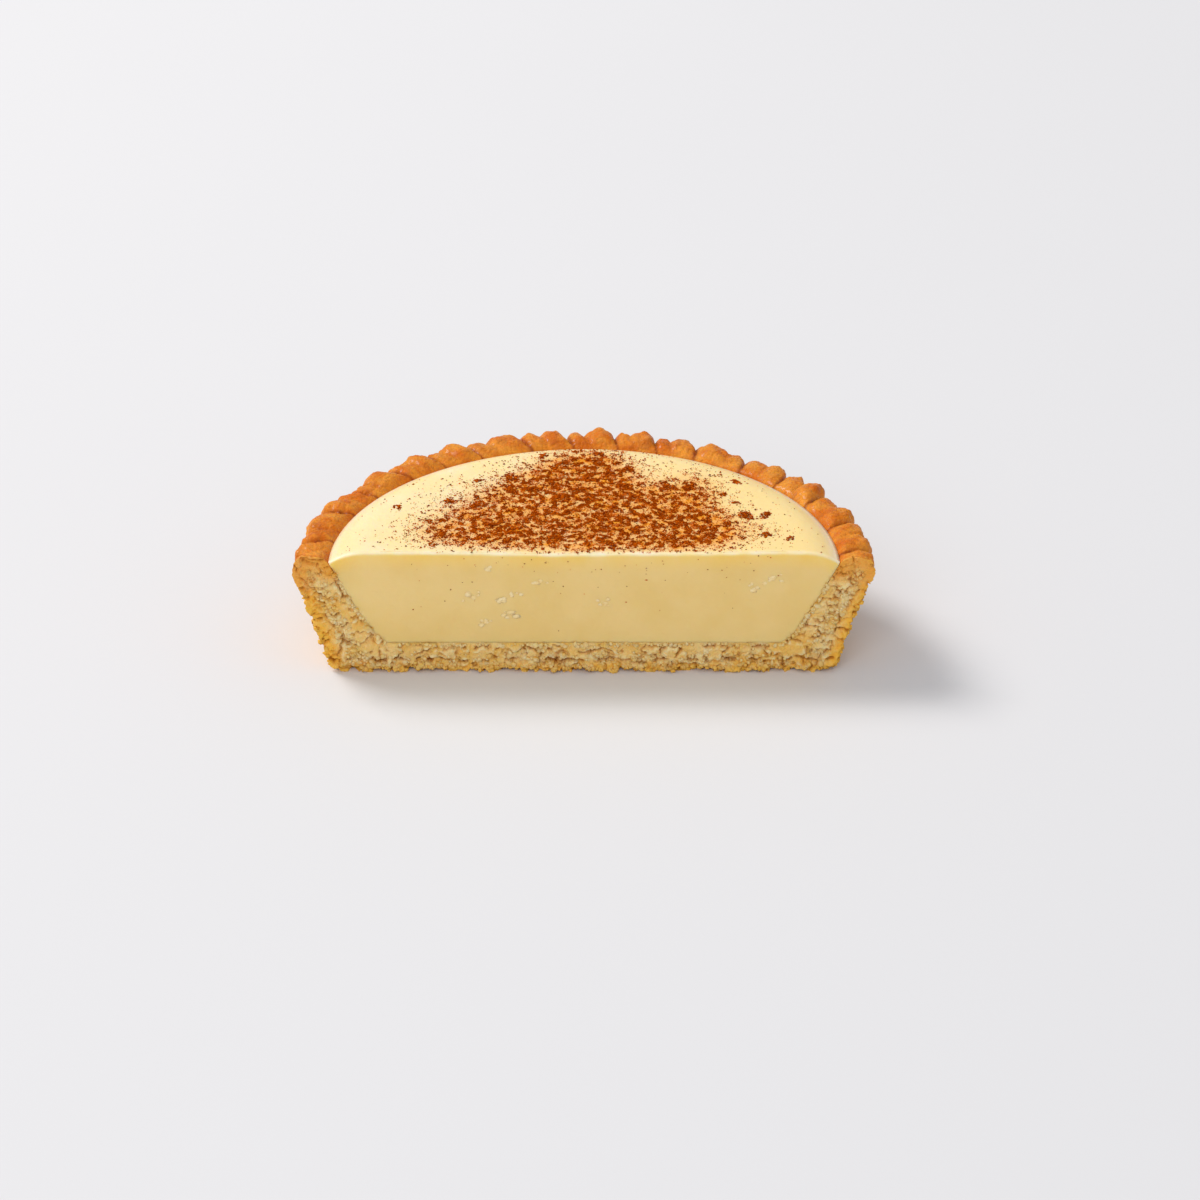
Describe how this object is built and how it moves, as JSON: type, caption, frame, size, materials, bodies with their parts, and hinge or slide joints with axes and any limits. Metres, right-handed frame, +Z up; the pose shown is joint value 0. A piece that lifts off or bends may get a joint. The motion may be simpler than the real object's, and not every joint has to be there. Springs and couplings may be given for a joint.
{
  "type": "half custard tart",
  "caption": "Half of a round custard tart: a thick shortcrust case with a crimped rim, cut straight across, filled with set custard and dusted with cinnamon.",
  "frame": {"origin": "on the ground, under the middle of the half tart's bounding box", "axes": "+Z up; the flat cut faces -Y and runs along X; the round back faces +Y"},
  "size_m": [0.0994, 0.0508, 0.0234],
  "materials": {
    "shortcrust": "baked, matte and crumbly, browned on the rim and the outer wall",
    "custard": "smooth and moist, a soft sheen on top, dusted with cinnamon"
  },
  "bodies": {
    "root": {"pastry_shell": "shortcrust", "custard_filling": "custard"}
  },
  "joints": []
}
